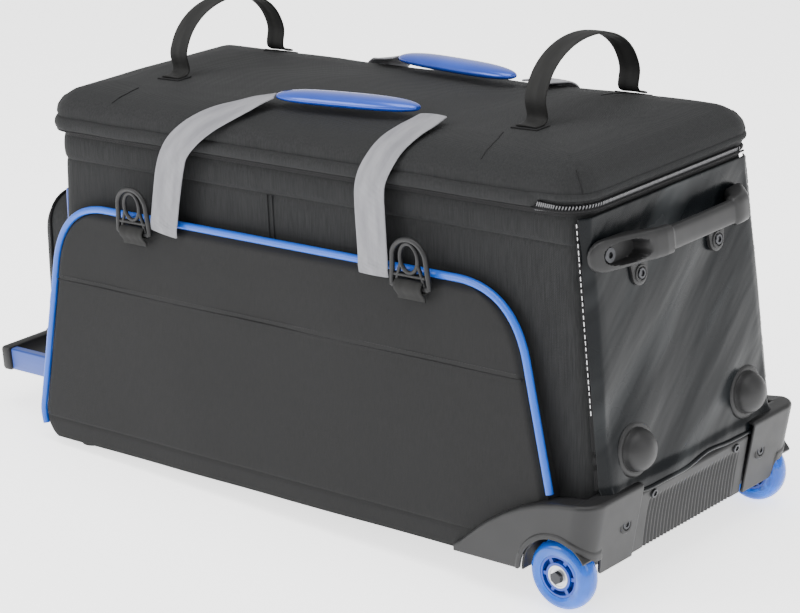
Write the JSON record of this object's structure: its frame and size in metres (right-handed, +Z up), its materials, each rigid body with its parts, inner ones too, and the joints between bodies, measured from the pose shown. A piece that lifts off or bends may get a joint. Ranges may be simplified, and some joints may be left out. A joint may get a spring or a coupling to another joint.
{
  "type": "wheeled equipment bag",
  "caption": "Wheeled soft-sided equipment bag with a zipped padded lid, side pockets, carry handles, skate wheels and a sliding pull handle.",
  "frame": {"origin": "On the ground under the middle of the bag: the middle of the bottom of the bounding box, with the bag on its wheels and feet.", "axes": "+X runs along the bag towards the wheels, with the pull handle at -X. +Y runs from the front side to the rear side. +Z is up. The bag's own bottom leans 2.2 degrees, down towards -X, because the wheels are taller than the feet."},
  "size_m": [0.8778, 0.336, 0.4852],
  "materials": {
    "woven_fabric": "charcoal woven nylon over foam",
    "smooth_panel": "smooth dark grey coated cloth",
    "coated_sheet": "glossy black coated sheet",
    "moulded_plastic": "fine textured black moulding",
    "black_rubber": "satin black rubber",
    "grey_webbing": "light grey ribbed webbing",
    "black_webbing": "black webbing",
    "blue_tube": "bright blue flexible tube",
    "blue_metal": "blue anodised metal",
    "blue_urethane": "translucent blue urethane",
    "blue_plastic": "blue moulded core",
    "steel": "bright bearing steel",
    "dark_steel": "blackened steel",
    "zip_metal": "black coil zip"
  },
  "bodies": {
    "bag": {"body_shell": "woven_fabric", "base_tray": "moulded_plastic", "base_board": "smooth_panel", "zip_band": "zip_metal", "end_pocket": "woven_fabric", "end_panel": "coated_sheet", "bumper_front": "black_rubber", "bumper_rear": "black_rubber", "end_handle": "moulded_plastic", "end_handle_screw_front": "dark_steel", "end_handle_screw_rear": "dark_steel", "skid_plate": "moulded_plastic", "foot_front": "black_rubber", "foot_rear": "black_rubber", "handle_sleeve_front": "dark_steel", "handle_sleeve_rear": "dark_steel", "front_pocket": "smooth_panel", "rear_pocket": "smooth_panel", "front_piping": "blue_tube", "rear_piping": "blue_tube", "wheel_housing_front": "moulded_plastic", "wheel_housing_rear": "moulded_plastic", "housing_screw_front": "dark_steel", "housing_screw_rear": "dark_steel", "axle_bolt_front": "dark_steel", "axle_bolt_rear": "dark_steel", "dring_tab_front_left": "black_webbing", "dring_tab_front_right": "black_webbing", "dring_tab_rear_left": "black_webbing", "dring_tab_rear_right": "black_webbing"},
    "lid": {"lid_panel": "woven_fabric", "lid_rim": "woven_fabric", "tie_strap_left": "black_webbing", "tie_strap_right": "black_webbing"},
    "pull_handle": {"handle_arm_front": "blue_metal", "handle_arm_rear": "blue_metal", "pull_grip": "moulded_plastic"},
    "button": {"release_button": "moulded_plastic"},
    "carry_handle_front": {"carry_grip_front": "blue_metal", "carry_strap_front_left": "grey_webbing", "carry_strap_front_right": "grey_webbing"},
    "carry_handle_rear": {"carry_grip_rear": "blue_metal", "carry_strap_rear_left": "grey_webbing", "carry_strap_rear_right": "grey_webbing"},
    "wheel_front": {"wheel_tyre_front": "blue_urethane", "wheel_core_front": "blue_plastic", "wheel_bearing_front": "steel"},
    "wheel_rear": {"wheel_tyre_rear": "blue_urethane", "wheel_core_rear": "blue_plastic", "wheel_bearing_rear": "steel"},
    "ring_front_left": {"dring_front_left": "moulded_plastic"},
    "ring_front_right": {"dring_front_right": "moulded_plastic"},
    "ring_rear_left": {"dring_rear_left": "moulded_plastic"},
    "ring_rear_right": {"dring_rear_right": "moulded_plastic"},
    "slider_front": {"zip_slider_front": "zip_metal", "zip_pull_front": "black_webbing"},
    "slider_rear": {"zip_slider_rear": "zip_metal", "zip_pull_rear": "black_webbing"}
  },
  "joints": [
    {"name": "lid_hinge", "type": "hinge", "parent": "bag", "child": "lid", "pos_m": [0.04995, 0.131, 0.35831], "axis": [-0.9992, 0, -0.0389], "range_deg": [0, 100]},
    {"name": "carry_handle_front_flip", "type": "hinge", "parent": "bag", "child": "carry_handle_front", "pos_m": [0.04922, -0.143, 0.37709], "axis": [0.9992, 0, 0.0389], "range_deg": [0, 225], "deforming": ["carry_strap_front_left", "carry_strap_front_right", "carry_grip_front"]},
    {"name": "carry_handle_rear_flip", "type": "hinge", "parent": "bag", "child": "carry_handle_rear", "pos_m": [0.04922, 0.143, 0.37709], "axis": [-0.9992, 0, -0.0389], "range_deg": [0, 225], "deforming": ["carry_strap_rear_left", "carry_strap_rear_right"]},
    {"name": "pull_handle_slide", "type": "slide", "parent": "bag", "child": "pull_handle", "axis": [-0.9992, 0, -0.0389], "range_m": [0, 0.4]},
    {"name": "button_press", "type": "slide", "parent": "pull_handle", "child": "button", "axis": [0.9992, 0, 0.0389], "range_m": [0, 0.004], "stiffness_N_per_m": 600},
    {"name": "wheel_front_spin", "type": "hinge", "parent": "bag", "child": "wheel_front", "pos_m": [0.38781, -0.1535, 0.034], "axis": [0, 1, 0], "continuous": true},
    {"name": "wheel_rear_spin", "type": "hinge", "parent": "bag", "child": "wheel_rear", "pos_m": [0.38781, 0.1535, 0.034], "axis": [0, 1, 0], "continuous": true},
    {"name": "ring_front_left_swing", "type": "hinge", "parent": "bag", "child": "ring_front_left", "pos_m": [-0.15989, -0.15203, 0.25988], "axis": [0.9992, 0, 0.0389], "range_deg": [0, 165]},
    {"name": "ring_front_right_swing", "type": "hinge", "parent": "bag", "child": "ring_front_right", "pos_m": [0.21333, -0.15203, 0.2744], "axis": [0.9992, 0, 0.0389], "range_deg": [0, 165]},
    {"name": "ring_rear_left_swing", "type": "hinge", "parent": "bag", "child": "ring_rear_left", "pos_m": [-0.15989, 0.15203, 0.25988], "axis": [-0.9992, 0, -0.0389], "range_deg": [0, 165]},
    {"name": "ring_rear_right_swing", "type": "hinge", "parent": "bag", "child": "ring_rear_right", "pos_m": [0.21333, 0.15203, 0.2744], "axis": [-0.9992, 0, -0.0389], "range_deg": [0, 165]},
    {"name": "zip_front_slide", "type": "slide", "parent": "bag", "child": "slider_front", "axis": [0, -1, 0], "range_m": [0, 0.085]},
    {"name": "zip_rear_slide", "type": "slide", "parent": "bag", "child": "slider_rear", "axis": [0, 1, 0], "range_m": [0, 0.085]}
  ],
  "couplings": [
    {"joint": "carry_handle_front_flip", "follows": "lid_hinge", "ratio": 2.25},
    {"joint": "carry_handle_rear_flip", "follows": "lid_hinge", "ratio": 2.25}
  ]
}
